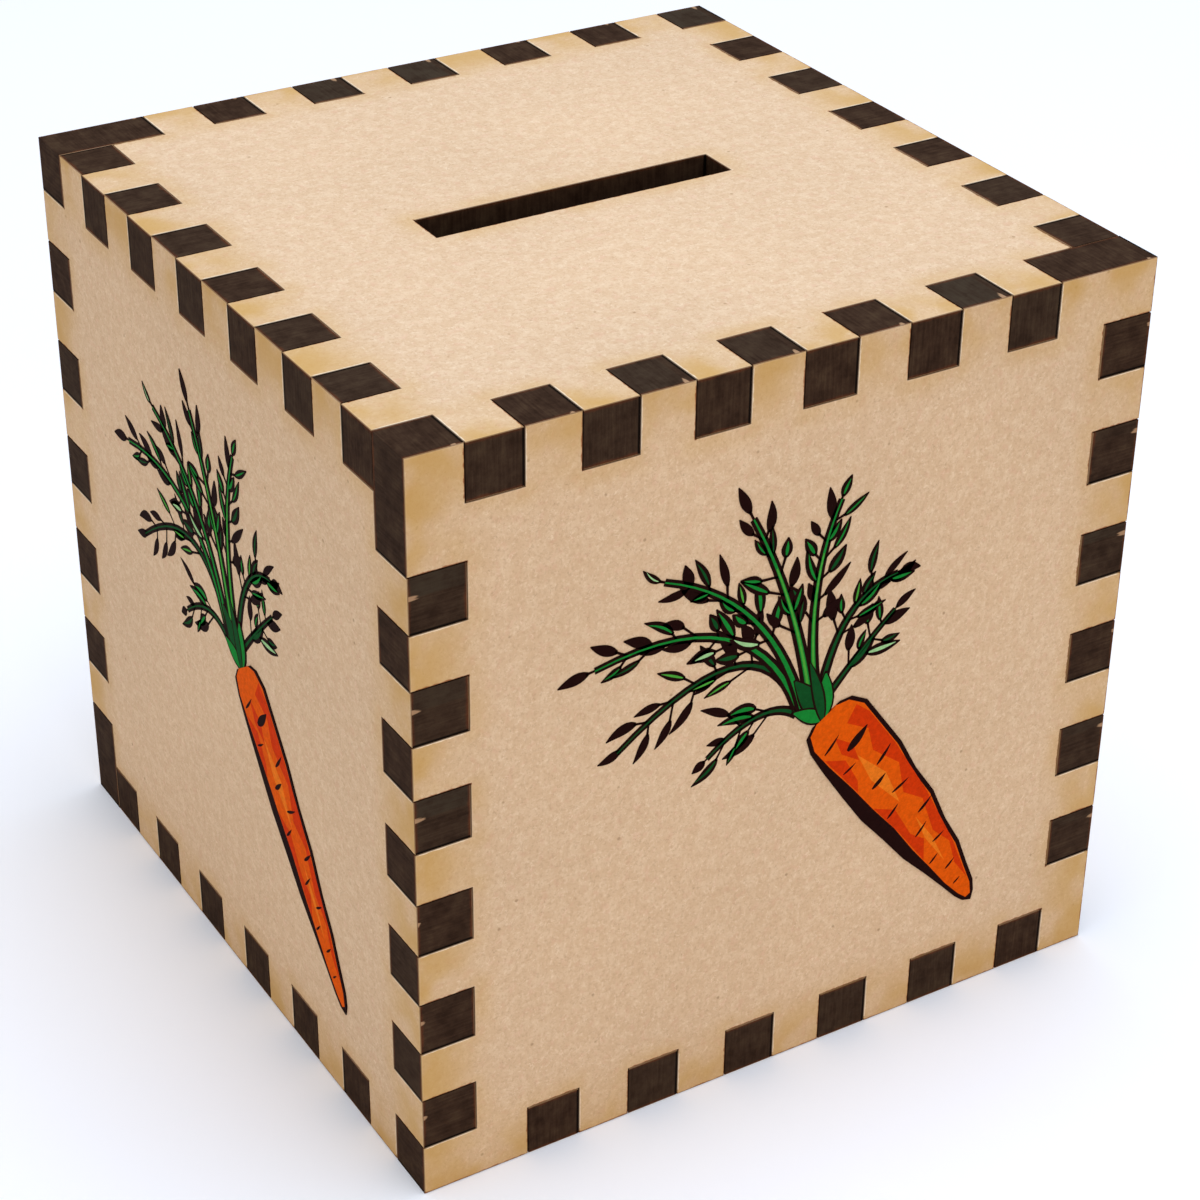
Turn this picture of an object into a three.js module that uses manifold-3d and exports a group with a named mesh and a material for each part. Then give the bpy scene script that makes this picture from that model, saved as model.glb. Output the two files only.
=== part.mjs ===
// Finger-jointed wooden money box: six laser-cut 6 mm boards glued into a cube,
// with a coin slot in the top board and a rubber bung in the base board.
// Millimetres, +Z up, +X along the front board, origin at the centre of the base.

import * as THREE from 'three';
import { mergeVertices } from 'three/addons/utils/BufferGeometryUtils.js';
import Module from 'manifold-3d';

// ---- driving dimensions ----

const boxWidth = 84;          // along X, outside
const boxDepth = 84;          // along Y, outside
const boxHeight = 84;         // along Z, outside
const boardThickness = 6;
const fingerWidth = 6;        // wanted width, evened out so that whole pairs fit an edge
const kerfGap = 0.1;          // what the cut leaves between two neighbouring fingers

const slotLength = 35;
const slotWidth = 5;

const bungHoleDiameter = 32;
const bungGap = 0.15;         // between the bung's ribs and its hole, all round
const bungSetBack = 0.5;      // from the underside of the box up to the bung's outer face
const bungLength = 10;
const bungLeadIn = 1.6;       // taper at the bung's inner end
const ribCount = 3;
const ribHeight = 0.6;
const ribWidth = 0.9;         // at its foot
const ribCrestWidth = 0.3;
const bungWall = 3.25;        // rubber left between the ribs' foot and the finger recess
const recessDepth = 6;        // finger recess in the bung's outer face
const gripBarWidth = 4;
const gripBarSetBack = 0.5;   // from the bung's outer face up to the grip bar
const gripBarRoot = 1;        // how far the grip bar runs into the rubber around it
const roundSegments = 48;

const sameSpot = 1e-5;        // points nearer than this are one point

const boardColour = '#cfae89';
const rubberColour = '#242322';

// ---- finger joints ----

// Where the cells of an edge begin and end. The two end cells are as long as a board is
// thick, and an even number of equal cells fills the stretch between them.
function cellBounds(edgeLength) {
  const stretch = edgeLength - 2 * boardThickness;
  const cellCount = 2 * Math.max(1, Math.round(stretch / (2 * fingerWidth)));
  const bounds = [0];
  for (let cell = 0; cell <= cellCount; cell += 1) {
    bounds.push(boardThickness + (stretch * cell) / cellCount);
  }
  bounds.push(edgeLength);
  return bounds;
}

// The outline of one edge as (along, inset) points, where inset 0 is flush with the
// outside of the box. Every cut side stands half the kerf gap inside its cell line.
function edgeOutline(edgeLength, fingers, ownsCorners) {
  const bounds = cellBounds(edgeLength);
  const lastCell = bounds.length - 2;
  const parity = fingers === 'even' ? 0 : 1;
  const notchDepth = boardThickness + kerfGap / 2;
  const isFinger = (cell) => (cell === 0 || cell === lastCell ? ownsCorners : cell % 2 === parity);
  const cornerInset = ownsCorners ? 0 : notchDepth;
  const points = [[cornerInset, cornerInset]];
  for (let cell = 1; cell <= lastCell; cell += 1) {
    if (isFinger(cell) === isFinger(cell - 1)) {
      continue;
    }
    if (isFinger(cell)) {
      const side = bounds[cell] + kerfGap / 2;
      points.push([side, notchDepth], [side, 0]);
    } else {
      const side = bounds[cell] - kerfGap / 2;
      points.push([side, 0], [side, notchDepth]);
    }
  }
  points.push([edgeLength - cornerInset, cornerInset]);
  return points;
}

// The whole outline of a board, anticlockwise, with its centre at the origin. u and v are
// the board's own two directions, and fingers says which cells of each edge it keeps.
function boardShape(uLength, vLength, fingers, ownsCorners) {
  const along = (edgeLength, cells) => edgeOutline(edgeLength, cells, ownsCorners);
  const corners = [
    ...along(uLength, fingers.vLow).map(([at, inset]) => [at, inset]),
    ...along(vLength, fingers.uHigh).map(([at, inset]) => [uLength - inset, at]),
    ...along(uLength, fingers.vHigh).map(([at, inset]) => [at, vLength - inset]).reverse(),
    ...along(vLength, fingers.uLow).map(([at, inset]) => [inset, at]).reverse(),
  ];
  const points = corners.map(([u, v]) => new THREE.Vector2(u - uLength / 2, v - vLength / 2));
  const previous = (index) => points[(index + points.length - 1) % points.length];
  return new THREE.Shape(points.filter((point, index) => point.distanceTo(previous(index)) > sameSpot));
}

function rectanglePath(length, width) {
  const path = new THREE.Path();
  path.moveTo(-length / 2, -width / 2);
  path.lineTo(-length / 2, width / 2);
  path.lineTo(length / 2, width / 2);
  path.lineTo(length / 2, -width / 2);
  path.closePath();
  return path;
}

function circlePath(radius) {
  const points = [];
  for (let step = 0; step < roundSegments; step += 1) {
    const angle = (-2 * Math.PI * step) / roundSegments;
    points.push(new THREE.Vector2(radius * Math.cos(angle), radius * Math.sin(angle)));
  }
  return new THREE.Path(points);
}

// ---- boards ----

// A board is drawn flat and extruded along its own normal. Its u is the axis after the
// normal and its v the one after that, so that each board is turned by whole axes only.
const boardSize = { x: boxWidth, y: boxDepth, z: boxHeight };
const nextAxis = { x: 'y', y: 'z', z: 'x' };
const axisVector = {
  x: new THREE.Vector3(1, 0, 0),
  y: new THREE.Vector3(0, 1, 0),
  z: new THREE.Vector3(0, 0, 1),
};
const boxCentre = new THREE.Vector3(0, 0, boxHeight / 2);

// The front and back boards keep all their corners, and the other four fit between them.
// The box looks the same after half a turn about its upright axis.
const boards = [
  { name: 'front_panel', normal: 'y', side: -1, ownsCorners: true, holes: [],
    fingers: { vLow: 'even', uHigh: 'even', vHigh: 'odd', uLow: 'odd' } },
  { name: 'back_panel', normal: 'y', side: 1, ownsCorners: true, holes: [],
    fingers: { vLow: 'odd', uHigh: 'odd', vHigh: 'even', uLow: 'even' } },
  { name: 'left_panel', normal: 'x', side: -1, ownsCorners: false, holes: [],
    fingers: { vLow: 'odd', uHigh: 'even', vHigh: 'even', uLow: 'odd' } },
  { name: 'right_panel', normal: 'x', side: 1, ownsCorners: false, holes: [],
    fingers: { vLow: 'even', uHigh: 'odd', vHigh: 'odd', uLow: 'even' } },
  { name: 'top_panel', normal: 'z', side: 1, ownsCorners: false,
    holes: [rectanglePath(slotLength, slotWidth)],
    fingers: { vLow: 'odd', uHigh: 'even', vHigh: 'even', uLow: 'odd' } },
  { name: 'bottom_panel', normal: 'z', side: -1, ownsCorners: false,
    holes: [circlePath(bungHoleDiameter / 2)],
    fingers: { vLow: 'even', uHigh: 'odd', vHigh: 'odd', uLow: 'even' } },
];

function boardMesh(board) {
  const u = nextAxis[board.normal];
  const v = nextAxis[u];
  const shape = boardShape(boardSize[u], boardSize[v], board.fingers, board.ownsCorners);
  shape.holes.push(...board.holes);
  const geometry = new THREE.ExtrudeGeometry(shape, { depth: boardThickness, bevelEnabled: false });
  geometry.translate(0, 0, -boardThickness / 2);
  const material = new THREE.MeshStandardMaterial({ color: boardColour, roughness: 0.8, metalness: 0 });
  const mesh = new THREE.Mesh(geometry, material);
  mesh.name = board.name;
  const turn = new THREE.Matrix4().makeBasis(axisVector[u], axisVector[v], axisVector[board.normal]);
  mesh.quaternion.setFromRotationMatrix(turn);
  const outward = (board.side * (boardSize[board.normal] - boardThickness)) / 2;
  mesh.position.copy(boxCentre).addScaledVector(axisVector[board.normal], outward);
  return mesh;
}

// ---- bung ----

const manifoldLibrary = await Module();
manifoldLibrary.setup();

// A closed three.js geometry as a solid, with shared vertices merged.
function toSolid(geometry) {
  const bare = geometry.clone();
  bare.deleteAttribute('normal');
  bare.deleteAttribute('uv');
  const merged = mergeVertices(bare, sameSpot);
  const triangles = [];
  const index = merged.index.array;
  for (let at = 0; at < index.length; at += 3) {
    const [a, b, c] = index.slice(at, at + 3);
    if (a !== b && b !== c && c !== a) {
      triangles.push(a, b, c);
    }
  }
  return new manifoldLibrary.Manifold(new manifoldLibrary.Mesh({
    numProp: 3,
    vertProperties: new Float32Array(merged.attributes.position.array),
    triVerts: new Uint32Array(triangles),
  }));
}

function toGeometry(solid) {
  const mesh = solid.getMesh();
  const geometry = new THREE.BufferGeometry();
  geometry.setAttribute('position', new THREE.BufferAttribute(mesh.vertProperties, 3));
  geometry.setIndex(new THREE.BufferAttribute(mesh.triVerts, 1));
  geometry.computeVertexNormals();
  return geometry;
}

// Radii of the rib crests, of the rubber between the ribs and of the finger recess.
const crest = bungHoleDiameter / 2 - bungGap;
const waist = crest - ribHeight;
const recess = waist - bungWall;

// Half the bung's section as (radius, height) points, from the middle of the recess floor
// round the outside to the middle of the inner end.
function bungProfile() {
  const ribPitch = boardThickness / ribCount;
  const points = [[0, recessDepth], [recess, recessDepth], [recess, 0], [waist, 0]];
  for (let rib = 0; rib < ribCount; rib += 1) {
    const middle = ribPitch * (rib + 0.5);
    points.push(
      [waist, middle - ribWidth / 2],
      [crest, middle - ribCrestWidth / 2],
      [crest, middle + ribCrestWidth / 2],
      [waist, middle + ribWidth / 2],
    );
  }
  points.push([waist, bungLength - bungLeadIn], [waist - bungLeadIn / 2, bungLength], [0, bungLength]);
  return points.map(([radius, height]) => new THREE.Vector2(radius, height));
}

function bungMesh() {
  const body = new THREE.LatheGeometry(bungProfile(), roundSegments);
  body.rotateX(Math.PI / 2);
  const barLength = 2 * (recess + gripBarRoot);
  const barHeight = recessDepth - gripBarSetBack + gripBarRoot;
  const bar = new THREE.BoxGeometry(barLength, gripBarWidth, barHeight);
  bar.translate(0, 0, gripBarSetBack + barHeight / 2);
  const solid = toSolid(body).add(toSolid(bar));
  const material = new THREE.MeshStandardMaterial({ color: rubberColour, roughness: 0.65, metalness: 0 });
  const mesh = new THREE.Mesh(toGeometry(solid), material);
  mesh.name = 'rubber_bung';
  mesh.position.set(0, 0, bungSetBack);
  return mesh;
}

// ---- money box ----

const moneyBox = new THREE.Group();
boards.forEach((board) => moneyBox.add(boardMesh(board)));
moneyBox.add(bungMesh());

export default moneyBox;
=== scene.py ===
import math
import random

import bmesh
import bpy
from mathutils import Matrix, Vector
from mathutils.bvhtree import BVHTree


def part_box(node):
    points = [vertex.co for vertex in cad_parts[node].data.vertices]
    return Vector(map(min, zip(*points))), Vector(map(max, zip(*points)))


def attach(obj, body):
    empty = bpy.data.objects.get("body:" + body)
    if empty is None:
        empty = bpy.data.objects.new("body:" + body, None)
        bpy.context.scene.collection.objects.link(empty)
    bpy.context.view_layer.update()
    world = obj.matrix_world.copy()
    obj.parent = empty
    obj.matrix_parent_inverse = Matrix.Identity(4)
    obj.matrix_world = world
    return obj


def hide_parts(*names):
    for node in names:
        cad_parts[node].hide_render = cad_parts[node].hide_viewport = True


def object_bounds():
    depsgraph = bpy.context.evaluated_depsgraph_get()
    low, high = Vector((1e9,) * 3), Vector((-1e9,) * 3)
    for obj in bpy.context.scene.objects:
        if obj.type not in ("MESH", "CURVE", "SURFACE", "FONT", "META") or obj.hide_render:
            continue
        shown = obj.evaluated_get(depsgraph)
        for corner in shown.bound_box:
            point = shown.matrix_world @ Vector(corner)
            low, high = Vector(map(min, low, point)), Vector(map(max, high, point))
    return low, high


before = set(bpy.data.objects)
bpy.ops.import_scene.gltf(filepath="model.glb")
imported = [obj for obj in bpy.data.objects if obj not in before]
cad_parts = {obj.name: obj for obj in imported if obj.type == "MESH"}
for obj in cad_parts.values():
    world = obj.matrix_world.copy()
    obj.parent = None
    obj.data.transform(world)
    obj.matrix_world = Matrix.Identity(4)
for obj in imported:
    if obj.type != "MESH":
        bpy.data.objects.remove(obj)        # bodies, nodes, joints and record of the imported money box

mm = 0.001
cadBox = [list(corner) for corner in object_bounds()]
boxLow, boxHigh = (Vector(corner) for corner in cadBox)
boxSide = boxHigh.x - boxLow.x
boxCentre = (boxLow + boxHigh) / 2
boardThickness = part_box("front_panel")[1].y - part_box("front_panel")[0].y


# ways of working that every piece shares

def linear(hexColour, alpha=1.0):
    values = [int(hexColour[at:at + 2], 16) / 255 for at in (1, 3, 5)]
    return [v / 12.92 if v <= 0.04045 else ((v + 0.055) / 1.055) ** 2.4 for v in values] + [alpha]


def deselectAll():
    if bpy.context.mode != "OBJECT":
        bpy.ops.object.mode_set(mode="OBJECT")
    bpy.ops.object.select_all(action="DESELECT")


def startEdit(piece, selectMode="FACE"):
    deselectAll()
    piece.select_set(True)
    bpy.context.view_layer.objects.active = piece
    bpy.ops.object.mode_set(mode="EDIT")
    bpy.ops.mesh.select_mode(type=selectMode)


def pick(piece, kind, test):     # selects the faces, edges or verts that pass the test, and nothing else
    shape = bmesh.from_edit_mesh(piece.data)
    shape.normal_update()
    for vert in shape.verts:
        vert.select = False
    for edge in shape.edges:
        edge.select = False
    for face in shape.faces:
        face.select = False
    chosen = [part for part in getattr(shape, kind) if test(part)]
    for part in chosen:
        part.select_set(True)
    bmesh.update_edit_mesh(piece.data)
    return len(chosen)


def endEdit():
    bpy.ops.object.mode_set(mode="OBJECT")


def settle(piece, matrix):       # puts the place into the mesh, so that the object sits at the origin
    piece.data.transform(matrix)
    piece.matrix_world = Matrix.Identity(4)
    piece.data.update()


def addNode(material, kind, inputs=None, stops=None, **settings):
    node = material.node_tree.nodes.new(kind)
    for name, value in settings.items():
        setattr(node, name, value)
    for name, value in (inputs or {}).items():
        if isinstance(value, bpy.types.Node):            # its first output that is in use
            value = next(output for output in value.outputs if output.enabled)
        if isinstance(value, bpy.types.NodeSocket):
            material.node_tree.links.new(value, node.inputs[name])
        else:
            node.inputs[name].default_value = value
    for at, (place, colour) in enumerate(stops or []):
        element = node.color_ramp.elements[at] if at < 2 else node.color_ramp.elements.new(place)
        element.position = place
        element.color = colour
    return node


def newMaterial(name):
    material = bpy.data.materials.new(name)
    material.use_nodes = True
    material.node_tree.nodes.clear()
    return material


def finishMaterial(material, shader):
    addNode(material, "ShaderNodeOutputMaterial", {"Surface": shader.outputs[0]})
    material.diffuse_color = (0.6, 0.5, 0.4, 1)
    return material


# materials of the boards

faceSettings = {
    "board": "#d8b894",          # pressed MDF skin, warm pinkish tan
    "shade": "#c29d7b",          # the felt's darker and paler grains
    "light": "#f0d8b8",
    "pink": "#d9a98d",           # resin-rich grains
    "pale": "#f3dcbd",           # pale fibres lying in the skin
    "dark": "#9c7653",           # bark flecks
    "toast": "#c59a52",          # golden where the cut's smoke settled
    "scorchAndShade": "#8a4413",         # orange-brown browned edge along the cuts, laid on the side away from the light, so partly painted shade
    "singe": "#4a2814",          # thinner and darker along the other sides
    "bare": "#fbe7c9",           # painted highlight: a cream line along the cuts that face the light
    # layers of the felt: mm across one grain, noise detail and roughness, the noise values
    # where the layer starts and is full, how much of its tone it lays down, tone
    "felt": [
        (1.50, 4.0, 0.60, 0.40, 0.66, 0.30, "light"),
        (0.42, 3.0, 0.75, 0.52, 0.34, 0.46, "shade"),
        (0.55, 3.0, 0.70, 0.52, 0.70, 0.44, "light"),
        (1.20, 2.0, 0.60, 0.54, 0.70, 0.28, "pink"),
    ],
    # pressed fibres: a shift that makes each set its own, half width in noise value, strength, tone
    "fibres": [
        (0.0, 0.020, 0.50, "pale"),
        (37.0, 0.013, 0.36, "dark"),
        (81.0, 0.011, 0.38, "pale"),
        (120.0, 0.009, 0.32, "dark"),
    ],
    "fibre": 1.7,                # mm between pressed fibres
    "fibreGap": 1.0,             # mm over which a fibre comes and goes
    "speck": 3.0,                # mm between dark specks
    "speckShare": 0.6,           # of the cells that have no speck
    "unevenness": 26,            # mm across a broad lighter or darker part, and how much it changes
    "unevenStrength": (0.97, 1.03),
    "rimReach": 9.5,             # mm in from the box's edge that the smoke reaches, and how strongly
    "rimStrength": 0.85,
    "cutReach": 3.2,             # the same from any other cut
    "cutStrength": 0.42,
    "toastPatch": 6.0,           # mm across one patch of it, and the least and most it lays down
    "toastShare": (0.26, 0.98),
    "raggedness": 0.9,           # mm over which the cut lines change their width
    # lines along the cuts, a painted highlight and a browned edge with painted shade: tone, mm wide at the
    # least and most, mm of soft edge, strength, and how far the wall faces away from the light where the
    # line starts and is full
    "cutLines": [
        # painted highlight: a cream line along the walls that face the light
        ("bare", (0.09, 0.21), 0.06, 0.78, -0.25, -0.6),
        # browned edge along the walls that face away from the light: partly real, partly painted shade
        ("scorchAndShade", (0.05, 0.22), 0.06, 0.85, 0.25, 0.6),
    ],
    "bareReach": (5.2, 5.7),     # mm from the box's edge where the painted highlight line fades, at the fingers' feet
    "bareRim": (0.15, 0.5),      # mm from the box's edge where it starts
    "singeReach": (0.03, 0.10),  # mm
    "fuzz": 0.35,                # mm across one tuft of the surface, and its height
    "fuzzHeight": 0.05,
    "roughness": 0.8,
    "gloss": 0.22,
}


# MDF: hot-pressed wood fibre, which gives felted flecks, a dull even skin, and toasting near the cuts
def laserCutBoardFace():
    s = faceSettings
    material = newMaterial("laser-cut MDF face")
    place = addNode(material, "ShaderNodeAttribute", attribute_name="boardPlace").outputs["Vector"]
    distance = addNode(material, "ShaderNodeAttribute", attribute_name="cutDistance").outputs["Fac"]
    rim = addNode(material, "ShaderNodeAttribute", attribute_name="rimDistance").outputs["Fac"]
    awayFromLight = addNode(material, "ShaderNodeAttribute", attribute_name="cutAwayFromLight").outputs["Fac"]

    # the felt: fine grains over soft patches, and a broad unevenness
    colour = linear(s["board"])
    for size, detail, roughness, low, full, strength, tone in s["felt"]:
        grains = addNode(material, "ShaderNodeTexNoise", {
            "Vector": place, "Scale": 1 / size, "Detail": detail, "Roughness": roughness})
        amount = addNode(material, "ShaderNodeMapRange", {
            "Value": grains, "From Min": low, "From Max": full, "To Max": strength},
            interpolation_type="SMOOTHSTEP")
        colour = addNode(material, "ShaderNodeMix", {
            0: amount, 6: colour, 7: linear(s[tone])}, data_type="RGBA")
    broad = addNode(material, "ShaderNodeTexNoise", {
        "Vector": place, "Scale": 1 / s["unevenness"], "Detail": 2.0, "Roughness": 0.5})
    least, most = s["unevenStrength"]
    strength = addNode(material, "ShaderNodeMapRange", {
        "Value": broad, "From Min": 0.3, "From Max": 0.7, "To Min": least, "To Max": most})
    colour = addNode(material, "ShaderNodeVectorMath", {0: colour, 1: strength}, operation="MULTIPLY")

    # fibres: the thin lines where a wandering noise crosses its middle value
    for shift, width, strength, tone in s["fibres"]:
        moved = addNode(material, "ShaderNodeVectorMath", {
            0: place, 1: (shift, -shift, shift)}, operation="ADD")
        strand = addNode(material, "ShaderNodeTexNoise", {
            "Vector": moved, "Scale": 1 / s["fibre"], "Detail": 2.5, "Roughness": 0.6,
            "Distortion": 1.8})
        offMiddle = addNode(material, "ShaderNodeMath", {0: strand, 1: 0.5}, operation="SUBTRACT")
        away = addNode(material, "ShaderNodeMath", {0: offMiddle}, operation="ABSOLUTE")
        line = addNode(material, "ShaderNodeMapRange", {
            "Value": away, "From Max": width, "To Min": strength, "To Max": 0.0},
            interpolation_type="SMOOTHSTEP")
        gaps = addNode(material, "ShaderNodeTexNoise", {
            "Vector": moved, "Scale": 1 / s["fibreGap"], "Detail": 1.0, "Roughness": 0.5})
        broken = addNode(material, "ShaderNodeMapRange", {
            "Value": gaps, "From Min": 0.51, "From Max": 0.60}, interpolation_type="SMOOTHSTEP")
        amount = addNode(material, "ShaderNodeMath", {0: line, 1: broken}, operation="MULTIPLY")
        colour = addNode(material, "ShaderNodeMix", {
            0: amount, 6: colour, 7: linear(s[tone])}, data_type="RGBA")

    # sparse dark specks, one in a few cells
    cells = addNode(material, "ShaderNodeTexVoronoi", {"Vector": place, "Scale": 1 / s["speck"]})
    chosen = addNode(material, "ShaderNodeSeparateColor", {"Color": cells.outputs["Color"]})
    rare = addNode(material, "ShaderNodeMath", {0: chosen, 1: s["speckShare"]}, operation="GREATER_THAN")
    dot = addNode(material, "ShaderNodeMapRange", {
        "Value": cells.outputs["Distance"], "From Min": 0.03, "From Max": 0.085,
        "To Min": 0.6, "To Max": 0.0}, interpolation_type="SMOOTHSTEP")
    speck = addNode(material, "ShaderNodeMath", {0: dot, 1: rare}, operation="MULTIPLY")
    colour = addNode(material, "ShaderNodeMix", {
        0: speck, 6: colour, 7: linear(s["dark"])}, data_type="RGBA")

    # smoke toasting: golden patches along the box's edges, and a little round the other cuts
    settled = addNode(material, "ShaderNodeTexNoise", {
        "Vector": place, "Scale": 1 / s["toastPatch"], "Detail": 2.5, "Roughness": 0.55})
    least, most = s["toastShare"]
    patch = addNode(material, "ShaderNodeMapRange", {
        "Value": settled, "From Min": 0.34, "From Max": 0.62, "To Min": least, "To Max": most},
        interpolation_type="SMOOTHSTEP")
    rimSmoke = addNode(material, "ShaderNodeMapRange", {
        "Value": rim, "From Max": s["rimReach"], "To Min": s["rimStrength"], "To Max": 0.0},
        interpolation_type="SMOOTHSTEP")
    cutSmoke = addNode(material, "ShaderNodeMapRange", {
        "Value": distance, "From Max": s["cutReach"], "To Min": s["cutStrength"], "To Max": 0.0},
        interpolation_type="SMOOTHSTEP")
    smoke = addNode(material, "ShaderNodeMath", {0: rimSmoke, 1: cutSmoke}, operation="MAXIMUM")
    toasting = addNode(material, "ShaderNodeMath", {0: smoke, 1: patch}, operation="MULTIPLY")
    colour = addNode(material, "ShaderNodeMix", {
        0: toasting, 6: colour, 7: linear(s["toast"])}, data_type="RGBA")

    # the cut lines: a painted highlight on the sides that face the light, and on those that face away a
    # scorched line that is partly painted shade
    ragged = addNode(material, "ShaderNodeTexNoise", {
        "Vector": place, "Scale": 1 / s["raggedness"], "Detail": 3.0, "Roughness": 0.6})
    fades, gone = s["bareReach"]
    insideRim = addNode(material, "ShaderNodeMapRange", {
        "Value": rim, "From Min": fades, "From Max": gone, "To Min": 1.0, "To Max": 0.2})
    starts, full = s["bareRim"]
    offRim = addNode(material, "ShaderNodeMapRange", {
        "Value": rim, "From Min": starts, "From Max": full, "To Min": 0.1, "To Max": 1.0})
    fingerSide = addNode(material, "ShaderNodeMath", {0: insideRim, 1: offRim}, operation="MULTIPLY")
    for tone, (least, most), soft, strength, awayStart, awayFull in s["cutLines"]:
        lineWidth = addNode(material, "ShaderNodeMapRange", {
            "Value": ragged, "From Min": 0.32, "From Max": 0.7, "To Min": least, "To Max": most})
        inLine = addNode(material, "ShaderNodeMath", {0: lineWidth, 1: distance}, operation="SUBTRACT")
        line = addNode(material, "ShaderNodeMapRange", {
            "Value": inLine, "From Min": -soft, "From Max": soft, "To Max": strength},
            interpolation_type="SMOOTHSTEP")
        # which side of the cut faces the light, for the painted highlight and painted shade lines
        lightSide = addNode(material, "ShaderNodeMapRange", {
            "Value": awayFromLight, "From Min": awayStart, "From Max": awayFull}, interpolation_type="SMOOTHSTEP")
        amount = addNode(material, "ShaderNodeMath", {0: line, 1: lightSide}, operation="MULTIPLY")
        # the painted highlight shows only on the fingers
        if tone == "bare":
            amount = addNode(material, "ShaderNodeMath", {0: amount, 1: fingerSide}, operation="MULTIPLY")
        colour = addNode(material, "ShaderNodeMix", {
            0: amount, 6: colour, 7: linear(s[tone])}, data_type="RGBA")
    full, gone = s["singeReach"]
    singe = addNode(material, "ShaderNodeMapRange", {
        "Value": distance, "From Min": full, "From Max": gone, "To Min": 0.7, "To Max": 0.0},
        interpolation_type="SMOOTHSTEP")
    colour = addNode(material, "ShaderNodeMix", {
        0: singe, 6: colour, 7: linear(s["singe"])}, data_type="RGBA")

    fuzz = addNode(material, "ShaderNodeTexNoise", {
        "Vector": place, "Scale": 1 / s["fuzz"], "Detail": 4.0, "Roughness": 0.6})
    bump = addNode(material, "ShaderNodeBump", {
        "Height": fuzz, "Strength": 0.25, "Distance": s["fuzzHeight"] * mm})
    shader = addNode(material, "ShaderNodeBsdfPrincipled", {
        "Base Color": colour, "Roughness": s["roughness"], "Specular IOR Level": s["gloss"],
        "Normal": bump})
    return finishMaterial(material, shader)


wallSettings = {
    "char": "#3a291e",           # carbonised MDF, nearly black brown
    "soot": "#2c1d14",
    "ash": "#483728",            # paler where the smoke dusted it
    "smoke": "#3a342a",          # greyer, greenish film on some fingers
    "ember": "#6a3217",          # red-brown next to the board's two faces
    "gap": "#0b0603",            # painted shadow in the joint gap, at the end of each finger wall that lies away from the light
    "pip": "#b48f6d",            # bare fibres where the beam started
    "streak": 0.30,              # mm across one beam streak
    "cloud": 2.2,                # mm across one cloud of soot
    "filmStrength": 0.6,         # on the finger that carries most of it
    "emberDepth": 0.45,          # mm from the face that the red tint reaches, and how strongly
    "emberStrength": 0.55,
    "gapShadowWidth": 0.27,            # mm
    "gapShadowStrength": 0.92,
    "pipWidth": 0.60,            # mm across the pip, along the edge
    "pipDepth": (0.45, 1.4),     # mm into the board's thickness, from the shortest to the longest
    "pipStrength": 0.8,
    "grooveDepth": 0.08,         # mm
    "roughness": 0.8,
    "gloss": 0.03,
}


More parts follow.
